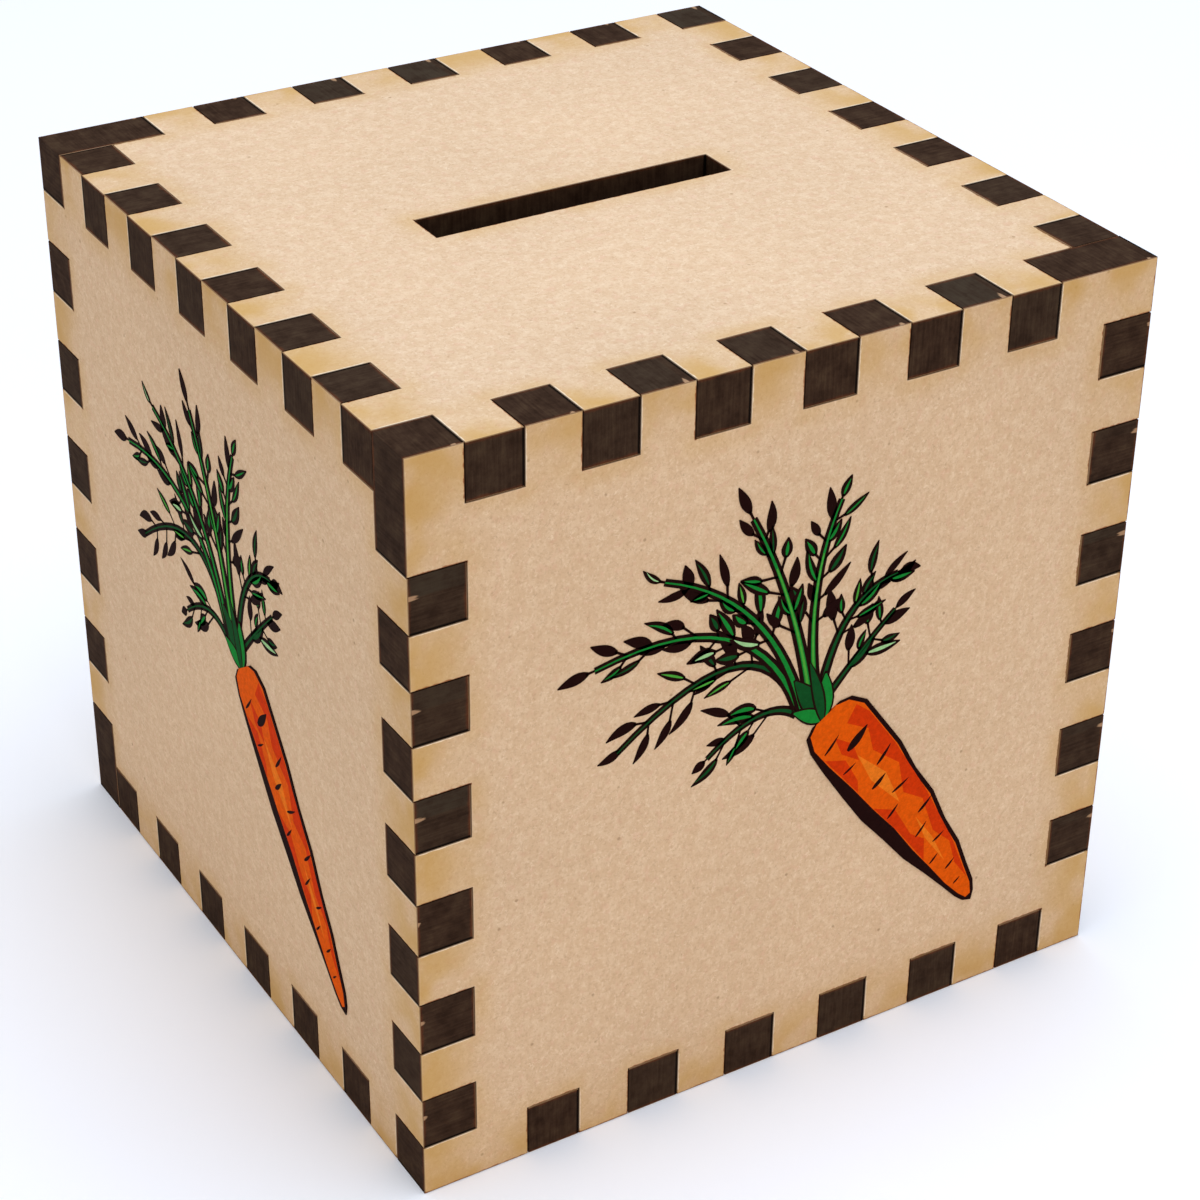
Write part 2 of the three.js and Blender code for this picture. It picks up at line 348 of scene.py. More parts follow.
# laser-cut MDF edge: carbon black-brown, with faint streaks straight through the board
def charredBoardEdge():
    s = wallSettings
    material = newMaterial("charred MDF edge")
    place = addNode(material, "ShaderNodeAttribute", attribute_name="boardPlace").outputs["Vector"]
    parts = addNode(material, "ShaderNodeSeparateXYZ", {"Vector": place})
    tab = addNode(material, "ShaderNodeAttribute", attribute_name="tabPlace").outputs["Vector"]
    tabParts = addNode(material, "ShaderNodeSeparateXYZ", {"Vector": tab})
    fromGap, fromPip, tabTone = (tabParts.outputs[axis] for axis in "XYZ")

    # streaks straight through the board, over soft clouds of soot
    streakPlace = addNode(material, "ShaderNodeVectorMath", {
        0: place, 1: (1 / s["streak"], 1 / s["streak"], 0.22)}, operation="MULTIPLY")
    streak = addNode(material, "ShaderNodeTexNoise", {
        "Vector": streakPlace, "Scale": 1.0, "Detail": 4.0, "Roughness": 0.6, "Distortion": 0.15})
    cloud = addNode(material, "ShaderNodeTexNoise", {
        "Vector": place, "Scale": 1 / s["cloud"], "Detail": 5.0, "Roughness": 0.7})
    clouds = addNode(material, "ShaderNodeMath", {0: cloud, 1: 0.62}, operation="MULTIPLY")
    blotch = addNode(material, "ShaderNodeMath", {0: streak, 1: 0.38, 2: clouds}, operation="MULTIPLY_ADD")
    tone = addNode(material, "ShaderNodeValToRGB", {"Fac": blotch}, stops=[
        (0.38, linear(s["soot"])), (0.51, linear(s["char"])), (0.66, linear(s["ash"]))])

    # some fingers carry a greyer film, and it ends where the beam started
    filmShare = addNode(material, "ShaderNodeMapRange", {
        "Value": tabTone, "From Min": 0.3, "From Max": 0.9, "To Max": s["filmStrength"]},
        interpolation_type="SMOOTHSTEP")
    filmSide = addNode(material, "ShaderNodeMapRange", {
        "Value": fromPip, "From Min": -0.1, "From Max": 0.1, "To Min": 0.3},
        interpolation_type="SMOOTHSTEP")
    filmCloud = addNode(material, "ShaderNodeMapRange", {
        "Value": blotch, "From Min": 0.40, "From Max": 0.58, "To Min": 0.45},
        interpolation_type="SMOOTHSTEP")
    film = addNode(material, "ShaderNodeMath", {0: filmShare, 1: filmSide}, operation="MULTIPLY")
    film = addNode(material, "ShaderNodeMath", {0: film, 1: filmCloud}, operation="MULTIPLY")
    colour = addNode(material, "ShaderNodeMix", {
        0: film, 6: tone, 7: linear(s["smoke"])}, data_type="RGBA")

    # a red tint near the board's two faces, as deep as the clouds let it
    middle = boardThickness / mm / 2
    height = addNode(material, "ShaderNodeMath", {0: parts.outputs["Z"], 1: middle}, operation="SUBTRACT")
    offMiddle = addNode(material, "ShaderNodeMath", {0: height}, operation="ABSOLUTE")
    depth = addNode(material, "ShaderNodeMath", {0: middle + 0.4, 1: offMiddle}, operation="SUBTRACT")
    ragged = addNode(material, "ShaderNodeMath", {0: cloud, 1: -0.8, 2: depth}, operation="MULTIPLY_ADD")
    ember = addNode(material, "ShaderNodeMapRange", {
        "Value": ragged, "From Min": -0.05, "From Max": s["emberDepth"],
        "To Min": s["emberStrength"], "To Max": 0.0}, interpolation_type="SMOOTHSTEP")
    colour = addNode(material, "ShaderNodeMix", {
        0: ember, 6: colour, 7: linear(s["ember"])}, data_type="RGBA")

    # painted shadow in the joint gap, laid at the end of each wall that lies away from the light
    gapShadow = addNode(material, "ShaderNodeMapRange", {
        "Value": fromGap, "From Min": s["gapShadowWidth"] * 0.6, "From Max": s["gapShadowWidth"],
        "To Min": s["gapShadowStrength"], "To Max": 0.0}, interpolation_type="SMOOTHSTEP")
    colour = addNode(material, "ShaderNodeMix", {
        0: gapShadow, 6: colour, 7: linear(s["gap"])}, data_type="RGBA")

    # the small pale blot at the outer face where the beam started
    along = addNode(material, "ShaderNodeMath", {0: fromPip, 1: 2 / s["pipWidth"]}, operation="MULTIPLY")
    shortest, longest = s["pipDepth"]
    reach = addNode(material, "ShaderNodeMapRange", {
        "Value": tabTone, "From Min": 0.2, "To Min": shortest, "To Max": longest})
    down = addNode(material, "ShaderNodeMath", {0: parts.outputs["Z"], 1: reach}, operation="DIVIDE")
    blot = addNode(material, "ShaderNodeCombineXYZ", {"X": along, "Y": down})
    across = addNode(material, "ShaderNodeVectorMath", {0: blot}, operation="LENGTH").outputs["Value"]
    frayed = addNode(material, "ShaderNodeMath", {0: streak, 1: 1.6, 2: across}, operation="MULTIPLY_ADD")
    pip = addNode(material, "ShaderNodeMapRange", {
        "Value": frayed, "From Min": 1.45, "From Max": 1.85,
        "To Min": s["pipStrength"], "To Max": 0.0}, interpolation_type="SMOOTHSTEP")
    colour = addNode(material, "ShaderNodeMix", {
        0: pip, 6: colour, 7: linear(s["pip"])}, data_type="RGBA")

    bump = addNode(material, "ShaderNodeBump", {
        "Height": blotch, "Strength": 0.45, "Distance": s["grooveDepth"] * mm})
    shader = addNode(material, "ShaderNodeBsdfPrincipled", {
        "Base Color": colour, "Roughness": s["roughness"], "Specular IOR Level": s["gloss"],
        "Normal": bump})
    return finishMaterial(material, shader)


boardFaceMaterial = laserCutBoardFace()
boardEdgeMaterial = charredBoardEdge()
print("board materials made")


# boards

boardSettings = {
    "cells": round(boxSide / boardThickness),   # finger cells along an edge, one board thickness each
    "kerfGap": 0.1 * mm,         # left between two neighbouring fingers
    "detailCuts": 7,            # cuts across each cell, fine enough for the toasting
    "edgeBand": 0.28 * mm,       # narrow band of faces along every cut
    "softEdge": 0.09 * mm,       # rounding of the cut's two rims
    "slotLength": 35 * mm,
    "slotWidth": 5 * mm,
    "bungHoleRadius": 16 * mm,
    "holeSides": 96,
    "lightTravel": Vector((1, 1, -1)),               # the way the light travels, from the upper front left: it places the painted highlight, painted shade and painted gap shadow along the cuts
    # mm from a finger's corner to where the beam started; 99 where no start shows
    "beamStart": {"front_panel": 0.95, "back_panel": 0.95, "left_panel": 3.8, "right_panel": 4.7,
                  "top_panel": 99, "bottom_panel": 99},
    "patternSeed": 20,
    "patternShift": 204,         # mm from one board's piece of pattern to the next board's
    "sameLine": 0.02 * mm,       # two corners closer than this stand on one line
}

# normal axis, side of the box, corners kept or not, and the cells kept on each edge: 1 for the odd
# ones and 0 for the even ones. u is the axis after the normal and v the one after that.
boards = {
    "front_panel": ("y", -1, True, {"vLow": 0, "uHigh": 0, "vHigh": 1, "uLow": 1}),
    "back_panel": ("y", 1, True, {"vLow": 1, "uHigh": 1, "vHigh": 0, "uLow": 0}),
    "left_panel": ("x", -1, False, {"vLow": 1, "uHigh": 0, "vHigh": 0, "uLow": 1}),
    "right_panel": ("x", 1, False, {"vLow": 0, "uHigh": 1, "vHigh": 1, "uLow": 0}),
    "top_panel": ("z", 1, False, {"vLow": 1, "uHigh": 0, "vHigh": 0, "uLow": 1}),
    "bottom_panel": ("z", -1, False, {"vLow": 0, "uHigh": 1, "vHigh": 1, "uLow": 0}),
}
axisVector = {"x": Vector((1, 0, 0)), "y": Vector((0, 1, 0)), "z": Vector((0, 0, 1))}
nextAxis = {"x": "y", "y": "z", "z": "x"}


def isNotch(column, row, ownsCorners, kept):
    last = boardSettings["cells"] - 1
    onU, onV = column in (0, last), row in (0, last)
    if onU and onV:
        return not ownsCorners
    if onV:
        return column % 2 != kept["vLow" if row == 0 else "vHigh"]
    if onU:
        return row % 2 != kept["uLow" if column == 0 else "uHigh"]
    return False


def cutSlot(board):
    s = boardSettings
    halfLength, halfWidth = s["slotLength"] / 2, s["slotWidth"] / 2
    cell = boxSide / s["cells"]
    for side in (-1, 1):
        bpy.ops.mesh.select_all(action="SELECT")
        bpy.ops.mesh.bisect(plane_co=(0, side * halfWidth, 0), plane_no=(0, 1, 0))
    bpy.ops.mesh.select_mode(type="VERT")
    line = round(halfLength / cell) * cell      # the grid lines next to the slot's ends move there
    for side in (-1, 1):
        pick(board, "verts", lambda vert: abs(vert.co.x - side * line) < cell / 9
             and abs(vert.co.y) < halfWidth + cell / 9)
        bpy.ops.transform.translate(value=(side * (halfLength - line), 0, 0))
    bpy.ops.mesh.select_mode(type="FACE")
    pick(board, "faces", lambda face: abs(face.calc_center_median().x) < halfLength
         and abs(face.calc_center_median().y) < halfWidth)
    bpy.ops.mesh.delete(type="FACE")


def drillBungHole(board):
    s = boardSettings
    deselectAll()
    bpy.ops.mesh.primitive_cylinder_add(
        vertices=s["holeSides"], radius=s["bungHoleRadius"], depth=4 * boardThickness)
    drill = bpy.context.object
    deselectAll()
    board.select_set(True)
    bpy.context.view_layer.objects.active = board
    hole = board.modifiers.new("bung hole", "BOOLEAN")
    hole.object = drill
    hole.operation = "DIFFERENCE"
    hole.solver = "EXACT"
    bpy.ops.object.modifier_apply(modifier=hole.name)
    bpy.data.objects.remove(drill)


def cutBoard(name, number):
    s = boardSettings
    normalAxis, side, ownsCorners, kept = boards[name]
    cell = boxSide / s["cells"]
    deselectAll()
    bpy.ops.mesh.primitive_grid_add(x_subdivisions=s["cells"], y_subdivisions=s["cells"], size=boxSide)
    board = bpy.context.object
    board.name = name + "_board"

    startEdit(board)
    pick(board, "faces", lambda face: isNotch(
        int((face.calc_center_median().x + boxSide / 2) / cell),
        int((face.calc_center_median().y + boxSide / 2) / cell), ownsCorners, kept))
    bpy.ops.mesh.delete(type="FACE")

    # the kerf: the whole outline steps in by half the gap, then the finger ends go back out flush
    bpy.ops.mesh.select_all(action="SELECT")
    bpy.ops.mesh.inset(thickness=s["kerfGap"] / 2, depth=0, use_boundary=True, use_even_offset=True)
    bpy.ops.mesh.select_all(action="INVERT")
    bpy.ops.mesh.delete(type="FACE")
    bpy.ops.mesh.select_mode(type="VERT")
    for axis in (0, 1):
        for end in (-1, 1):
            step = [0, 0, 0]
            step[axis] = end * s["kerfGap"] / 2
            pick(board, "verts", lambda vert: end * vert.co[axis] > boxSide / 2 - 0.75 * s["kerfGap"])
            bpy.ops.transform.translate(value=step)
    bpy.ops.mesh.select_mode(type="FACE")
    if name == "top_panel":
        cutSlot(board)

    # finer faces for the toasting, and a narrow band along the cuts
    bpy.ops.mesh.select_all(action="SELECT")
    bpy.ops.mesh.subdivide(number_cuts=s["detailCuts"])
    bpy.ops.mesh.select_all(action="SELECT")
    bpy.ops.mesh.inset(thickness=s["edgeBand"], depth=0, use_boundary=True, use_even_offset=True)

    bpy.ops.mesh.select_all(action="SELECT")
    bpy.ops.mesh.extrude_region_move(TRANSFORM_OT_translate={"value": (0, 0, boardThickness)})
    bpy.ops.mesh.select_all(action="SELECT")
    bpy.ops.mesh.normals_make_consistent(inside=False)
    bpy.ops.transform.translate(value=(0, 0, -boardThickness / 2))
    endEdit()
    if name == "bottom_panel":
        drillBungHole(board)

    # round the rims of the cuts
    startEdit(board, "EDGE")
    pick(board, "edges", lambda edge: len(edge.link_faces) == 2
         and sorted(abs(face.normal.z) > 0.5 for face in edge.link_faces) == [False, True])
    bpy.ops.mesh.bevel(offset=s["softEdge"], segments=2, profile=0.5, affect="EDGES")
    endEdit()

    board.data.materials.append(boardFaceMaterial)
    board.data.materials.append(boardEdgeMaterial)
    for face in board.data.polygons:
        face.material_index = 0 if abs(face.normal.z) > 0.3 else 1
    markCuts(board, side, number)

    u = nextAxis[normalAxis]
    turn = Matrix((axisVector[u], axisVector[nextAxis[u]], axisVector[normalAxis])).transposed().to_4x4()
    outward = axisVector[normalAxis] * side * (boxSide - boardThickness) / 2
    settle(board, Matrix.Translation(boxCentre + outward) @ turn)
    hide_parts(name)
    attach(board, "box")
    return board


# What the two board materials read, all in millimetres: the board's own coordinates with the depth
# from the outside, the distance to the nearest cut and how far that cut faces away from the light (for the
# painted highlight and shade lines), the distance to the box's edge, and each finger wall's place along the
# cut.
def markCuts(board, side, number):
    s = boardSettings
    mesh = board.data
    name = board.name.removesuffix("_board")
    u = nextAxis[boards[name][0]]
    lightWay = (s["lightTravel"].dot(axisVector[u]), s["lightTravel"].dot(axisVector[nextAxis[u]]))
    chance = random.Random(s["patternSeed"] + number)

    walls = [face for face in mesh.polygons if abs(face.normal.z) < 0.1]
    tree = BVHTree.FromPolygons(
        [vert.co for vert in mesh.vertices], [tuple(face.vertices) for face in walls])
    boardShift = s["patternShift"] * number     # so that no two boards show the same pattern
    distances, awayFromLightValues, rims, places = [], [], [], []
    for vert in mesh.vertices:
        x, y, z = vert.co
        _, normal, _, gap = tree.find_nearest((x, y, 0))
        distances.append(gap / mm)
        # how far the nearest wall faces away from the light: below zero it gets the painted highlight line,
        # above zero the painted shade line
        awayFromLightValues.append(normal.x * lightWay[0] + normal.y * lightWay[1])
        rims.append((boxSide / 2 - max(abs(x), abs(y))) / mm)
        places.extend((x / mm + boardShift, y / mm, (boardThickness / 2 - side * z) / mm))
    for label, values in (("cutDistance", distances), ("cutAwayFromLight", awayFromLightValues), ("rimDistance", rims)):
        mesh.attributes.new(label, "FLOAT", "POINT").data.foreach_set("value", values)
    mesh.attributes.new("boardPlace", "FLOAT_VECTOR", "POINT").data.foreach_set("vector", places)

    # corners of the outline, where two walls meet
    wallNormals = {}
    for face in walls:
        for index in face.vertices:
            wallNormals.setdefault(index, []).append(face.normal)
    corners = {(round(mesh.vertices[index].co.x, 6), round(mesh.vertices[index].co.y, 6))
               for index, normals in wallNormals.items()
               if min(normals[0].dot(normal) for normal in normals) < 0.5}
    tones = {}
    tabPlaces = [99.0, 99.0, 0.0] * len(mesh.loops)
    for face in walls:
        run = 0 if abs(face.normal.y) > abs(face.normal.x) else 1
        # the wall's end on the side away from the light: the painted gap shadow is laid from it, and the
        # pip is measured from it
        ahead = 1 if lightWay[run] > 0 else -1
        across, along = face.center[1 - run], face.center[run]
        onLine = [corner[run] for corner in corners if abs(corner[1 - run] - across) < s["sameLine"]
                  and (corner[run] - along) * ahead > 0]
        if not onLine:
            continue
        end = min(onLine, key=lambda corner: abs(corner - along))
        key = (run, round(across, 5), round(end, 5))
        if key not in tones:
            tones[key] = chance.random()
        for loop in face.loop_indices:
            fromEnd = abs(end - mesh.vertices[mesh.loops[loop].vertex_index].co[run]) / mm
            fromStart = fromEnd - s["beamStart"][name] if run == 1 else -99
            tabPlaces[3 * loop:3 * loop + 3] = (fromEnd, fromStart, tones[key])
    mesh.attributes.new("tabPlace", "FLOAT_VECTOR", "CORNER").data.foreach_set("vector", tabPlaces)


for number, name in enumerate(boards):
    board = cutBoard(name, number)
    print(name, "cut,", len(board.data.polygons), "faces")


# rubber bung

bungSettings = {
    "sides": 96,
    "ribs": 3,
    "ribHeight": 0.6 * mm,
    "ribFoot": 0.9 * mm,         # width of a rib where it meets the bung, and at its crest
    "ribCrest": 0.3 * mm,
    "leadIn": 1.6 * mm,          # taper at the inner end
    "wall": 3.25 * mm,           # rubber between the ribs' foot and the finger recess
    "recess": 6 * mm,
    "gripWidth": 4 * mm,
    "gripSetBack": 0.5 * mm,     # from the outer face up to the grip bar
    "softEdge": 0.35 * mm,
    "rubber": "#1c1b1a",
    "bloom": "#33322f",          # dusty grey film on moulded rubber
    "dust": 2.6 * mm,            # across one cloud of it
    "grain": 0.22 * mm,          # of the mould's texture, and its height
    "grainHeight": 0.04 * mm,
    "wear": (0.52, 0.74),        # roughness, from handled to dusty
    "gloss": 0.38,
    "overlap": 1 * mm,           # how far the grip bar runs into the rubber that it joins
    "sameHeight": 0.01 * mm,
}


def mouldedRubber():             # black rubber, moulded: dull, dusty, with a fine spark-eroded texture
    s = bungSettings
    material = newMaterial("moulded black rubber")
    place = addNode(material, "ShaderNodeTexCoord").outputs["Object"]
    dust = addNode(material, "ShaderNodeTexNoise", {
        "Vector": place, "Scale": 1 / s["dust"], "Detail": 4.0, "Roughness": 0.65})
    dustRamp = addNode(material, "ShaderNodeValToRGB", {"Fac": dust}, stops=[
        (0.38, linear(s["rubber"])), (0.72, linear(s["bloom"]))])
    grain = addNode(material, "ShaderNodeTexNoise", {
        "Vector": place, "Scale": 1 / s["grain"], "Detail": 2.0, "Roughness": 0.5})
    handled, dusty = s["wear"]
    wear = addNode(material, "ShaderNodeMapRange", {
        "Value": dust, "From Min": 0.3, "From Max": 0.7, "To Min": handled, "To Max": dusty})
    bump = addNode(material, "ShaderNodeBump", {
        "Height": grain, "Strength": 0.35, "Distance": s["grainHeight"]})
    shader = addNode(material, "ShaderNodeBsdfPrincipled", {
        "Base Color": dustRamp, "Roughness": wear, "Specular IOR Level": s["gloss"], "Normal": bump})
    return finishMaterial(material, shader)


def mouldBung():
    s = bungSettings
    low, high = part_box("rubber_bung")
    length = high.z - low.z
    crest = (high.x - low.x) / 2
    waist = crest - s["ribHeight"]
    recessRadius = waist - s["wall"]
    pitch = boardThickness / s["ribs"]
    deselectAll()
    bpy.ops.mesh.primitive_cylinder_add(
        vertices=s["sides"], radius=waist, depth=length, location=(0, 0, low.z + length / 2))
    bung = bpy.context.object
    bung.name = "bung_body"
    bpy.ops.object.transform_apply(location=True, rotation=False, scale=False)

    # ribs and lead-in: cut the side into rings, then push the crest rings out and the last one in
    startEdit(bung, "VERT")
    crests, cuts = [], [length - s["leadIn"]]
    for rib in range(s["ribs"]):
        middle = pitch * (rib + 0.5)
        cuts += [middle - s["ribFoot"] / 2, middle + s["ribFoot"] / 2]
        crests += [middle - s["ribCrest"] / 2, middle + s["ribCrest"] / 2]
    for height in cuts + crests:
        bpy.ops.mesh.select_all(action="SELECT")
        bpy.ops.mesh.bisect(plane_co=(0, 0, low.z + height), plane_no=(0, 0, 1))
    pick(bung, "verts", lambda vert: any(
        abs(vert.co.z - low.z - height) < s["sameHeight"] for height in crests))
    outward = crest / waist
    bpy.ops.transform.resize(value=(outward, outward, 1), center_override=(0, 0, 0))
    pick(bung, "verts", lambda vert: vert.co.z > high.z - s["sameHeight"])
    inward = 1 - s["leadIn"] / 2 / waist
    bpy.ops.transform.resize(value=(inward, inward, 1), center_override=(0, 0, 0))

    # finger recess in the outer face
    bpy.ops.mesh.select_mode(type="FACE")
    pick(bung, "faces", lambda face: face.normal.z < -0.9)
    bpy.ops.mesh.inset(thickness=s["wall"], depth=0)
    bpy.ops.mesh.extrude_region_move(TRANSFORM_OT_translate={"value": (0, 0, s["recess"])})
    endEdit()
    deselectAll()

    # grip bar across the recess
    gripHeight = s["recess"] - s["gripSetBack"] + s["overlap"]
    bpy.ops.mesh.primitive_cube_add(size=1, location=(0, 0, low.z + s["gripSetBack"] + gripHeight / 2))
    grip = bpy.context.object
    grip.scale = (2 * (recessRadius + s["overlap"]), s["gripWidth"], gripHeight)
    bpy.ops.object.transform_apply(location=True, rotation=False, scale=True)
    deselectAll()
    bung.select_set(True)
    bpy.context.view_layer.objects.active = bung
    bar = bung.modifiers.new("grip bar", "BOOLEAN")
    bar.object = grip
    bar.operation = "UNION"
    bar.solver = "EXACT"
    bpy.ops.object.modifier_apply(modifier=bar.name)
    bpy.data.objects.remove(grip)

    soft = bung.modifiers.new("soft edges", "BEVEL")
    soft.width = s["softEdge"]
    soft.segments = 3
    soft.limit_method = "ANGLE"
    soft.angle_limit = math.radians(40)
    soft.use_clamp_overlap = True
    bpy.ops.object.modifier_apply(modifier=soft.name)
    bpy.ops.object.shade_smooth_by_angle(angle=math.radians(35))
    bung.data.materials.append(mouldedRubber())
    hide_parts("rubber_bung")
    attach(bung, "bung")


mouldBung()
print("bung moulded")


# printed carrots: flat ink on the front and left boards. The drawing is laid out flat, in
# millimetres, x to the right from the middle of the face and y up from the box's base.

printSettings = {
    "faceSide": 84.0,            # the box side that the drawing was laid out for, mm
    "crown": Vector((5.4, 41.4)),
    "tip": Vector((25.0, 12.2)),
    # distance along the root from crown to tip, and half widths in mm to its left and right
    "flanks": [(-0.035, 1.5, 1.4), (-0.015, 2.8, 2.7), (0.04, 3.5, 3.6), (0.13, 3.5, 3.5), (0.27, 3.2, 3.4),
               (0.40, 3.0, 2.8), (0.53, 2.5, 2.8), (0.66, 2.3, 2.1), (0.78, 1.8, 2.0), (0.88, 1.4, 1.4),
               (0.96, 0.8, 1.0), (1.0, 0.3, 0.4)],
    "bow": 0.7,                  # mm that the root's middle stands to the right
    "outline": 0.50,             # mm of dark ink showing round the root
    "shadow": 1.25,              # more of it along the root's left flank, from and over this share of it
    "shadowReach": (0.06, 0.80),
    "pointLength": 0.9,          # mm of dark ink past the root's tip
    "blush": [                   # red-orange patches: along the root, and across it from -1 to 1
        [(0.02, 0.9), (0.05, 0.25), (0.13, 0.62), (0.21, 0.30), (0.33, 0.72), (0.44, 0.22), (0.52, 0.66),
         (0.66, 0.35), (0.75, 0.78), (0.84, 0.45), (0.93, 0.9), (0.75, 0.97), (0.5, 0.97), (0.25, 0.97),
         (0.08, 0.97)],
        [(0.10, -0.97), (0.16, -0.52), (0.26, -0.70), (0.30, -0.97)],
        [(0.40, -0.97), (0.47, -0.45), (0.60, -0.62), (0.66, -0.25), (0.73, -0.97), (0.56, -0.97)],
        [(0.06, -0.30), (0.13, -0.02), (0.20, -0.22), (0.13, -0.48)]],
    "glow": [                    # paler orange patches
        [(0.18, -0.15), (0.32, 0.18), (0.46, -0.12), (0.30, -0.38)],
        [(0.56, 0.02), (0.68, 0.14), (0.80, -0.05), (0.66, -0.20)]],
    # dark creases: along, across, length mm, width mm, slant in degrees
    "creases": [(0.075, -0.50, 2.6, 0.34, 12), (0.13, 0.20, 3.4, 1.05, 8), (0.20, -0.62, 1.8, 0.28, -6),
                (0.26, 0.48, 2.7, 0.42, 14), (0.33, -0.20, 2.2, 0.55, 4), (0.41, 0.30, 2.4, 0.36, -8),
                (0.47, -0.55, 2.0, 0.34, 10), (0.55, 0.62, 2.3, 0.40, 6), (0.62, -0.10, 2.1, 0.32, 12),
                (0.70, 0.40, 1.7, 0.30, -4), (0.76, -0.50, 1.5, 0.28, 8), (0.83, 0.15, 1.6, 0.30, 6),
                (0.91, -0.10, 1.1, 0.24, 2)],
    # fronds, back to front: start, bend and end of the stalk, half width mm at its foot, leaf pairs
    "fronds": [((1.0, 43.6), (-3.2, 47.0), (-9.6, 41.8), 0.34, 4),
               ((4.2, 44.0), (8.0, 48.5), (12.4, 52.4), 0.30, 4),
               ((0.6, 45.6), (-5.0, 57.5), (-20.0, 46.0), 0.36, 6),
               ((3.6, 44.6), (5.4, 56.0), (12.4, 56.6), 0.38, 6),
               ((1.0, 44.4), (-5.0, 60.0), (-22.6, 56.2), 0.42, 7),
               ((3.2, 44.8), (1.0, 58.0), (5.0, 67.0), 0.46, 6),
               ((1.5, 44.2), (-2.8, 59.0), (-15.0, 63.6), 0.44, 6),
               ((2.5, 44.4), (0.4, 57.0), (-5.2, 67.6), 0.52, 6)],
    "drawingSeed": 5,
    "stroke": 0.27,              # mm of dark ink showing round a stalk or leaf
    "twigWidths": [0.13, 0.12, 0.15],           # half widths in mm, from the stalk to the leaf
    "stalkTaper": 0.72,          # share of its width that a stalk loses by its end
    "stalkGreen": 0.62,          # how much of its width is green, and lime down the middle of a wide one
    "stalkLime": 0.32,
    "greenFoot": 0.40,           # mm of half width at the foot from which the ink is the brighter green
    "limeFoot": 0.45,            # and from which it has the lime line
    "limeReach": slice(1, 11),   # points of the stalk that carry the line
    "leafStart": 0.36,           # share of the stalk before its first leaf, and from first to last
    "leafSpan": 0.62,
    "leafLength": 3.1,           # mm
    "leafWidth": 0.84,
    "leafSpread": (22, 70),      # degrees off the stalk
    "leafLengths": (0.55, 1.3),  # from the shortest leaf to the longest
    "leafWidths": (0.5, 1.2),
    "leafCurl": (-0.1, 0.4),
    "twig": (0.3, 3.2),          # mm from the stalk to the leaf
    "leafGreen": 0.50,           # how much of a leaf's width is green inside its dark outline
    # where the stalks meet the root: heading in degrees, length and width in mm, ink
    "tuft": [(118, 6.6, 2.2, "deep green ink"), (84, 5.4, 1.9, "green ink"),
             (148, 4.0, 1.5, "green ink"), (100, 7.4, 1.1, "deep green ink")],
    "tuftFoot": Vector((-1.3, 0.6)),            # mm from the crown
    "tuftStroke": 0.24,
    # share of the leaves, adding up, that have each ink; the rest are all dark
    "leafInks": [(0.25, "green ink"), (0.45, "deep green ink"), (0.50, "lime ink"), (0.54, "mint ink")],
    "inks": {"dark ink": "#1e0907", "orange ink": "#dd5705", "red-orange ink": "#cc3604",
             "pale orange ink": "#e6761a", "deep green ink": "#0f4a20", "green ink": "#168030",
             "lime ink": "#4a9f38", "mint ink": "#9cca8e"},
    "sunk": 0.02 * mm,           # how far the ink soaks into the board
    "layer": 0.004 * mm,         # one pass of ink
    "felt": 0.45 * mm,           # the board's grains under the ink, and their height
    "feltHeight": 0.04 * mm,
    "inkWeight": (0.84, 1.16),   # brightness over the hollows and over the grains
    "roughness": 0.7,
    "gloss": 0.02,
}


# UV-cured ink on raw MDF: flat dull colour, with the felt showing faintly through
def printedInk(name, hexColour):
    s = printSettings
    material = newMaterial(name)
    place = addNode(material, "ShaderNodeTexCoord").outputs["Object"]
    felt = addNode(material, "ShaderNodeTexNoise", {
        "Vector": place, "Scale": 1 / s["felt"], "Detail": 4.0, "Roughness": 0.7})
    thin, thick = s["inkWeight"]
    weight = addNode(material, "ShaderNodeMapRange", {
        "Value": felt, "From Min": 0.3, "From Max": 0.7, "To Min": thin, "To Max": thick})
    colour = addNode(material, "ShaderNodeVectorMath", {
        0: linear(hexColour)[:3], 1: weight}, operation="MULTIPLY")
    bump = addNode(material, "ShaderNodeBump", {
        "Height": felt, "Strength": 0.2, "Distance": s["feltHeight"]})
    shader = addNode(material, "ShaderNodeBsdfPrincipled", {
        "Base Color": colour, "Roughness": s["roughness"], "Specular IOR Level": s["gloss"],
        "Normal": bump})
    return finishMaterial(material, shader)


# a place on the root, from -1 at its left edge to 1 at its right
def rootPoint(along, across, grow=0.0):
    s = printSettings
    axis = s["tip"] - s["crown"]
    right = Vector((-axis.y, axis.x)).normalized()
    stops = s["flanks"]
    place = min(max(along, stops[0][0]), stops[-1][0])
    for (a, leftA, rightA), (b, leftB, rightB) in zip(stops, stops[1:]):
        if place <= b:
            part = (place - a) / (b - a)
            leftWidth = leftA + part * (leftB - leftA)
            rightWidth = rightA + part * (rightB - rightA)
            break
    halfWidth = rightWidth if across > 0 else leftWidth
    bow = s["bow"] * math.sin(math.pi * place)
    return s["crown"] + axis * along + right * (across * halfWidth + bow + math.copysign(grow, across))


def stalk(start, bend, end, steps=14):       # points of a smooth curve that leaves start towards bend
    start, bend, end = Vector(start), Vector(bend), Vector(end)
    return [start.lerp(bend, at / steps).lerp(bend.lerp(end, at / steps), at / steps)
            for at in range(steps + 1)]


def ribbon(line, halfWidths):                # outline of a stroke along a line
    left, right = [], []
    for at, point in enumerate(line):
        ahead = (line[min(at + 1, len(line) - 1)] - line[max(at - 1, 0)]).normalized()
        side = Vector((-ahead.y, ahead.x)) * halfWidths[at]
        left.append(point + side)
        right.append(point - side)
    return left + right[::-1]


def direction(heading):
    return Vector((math.cos(heading), math.sin(heading)))


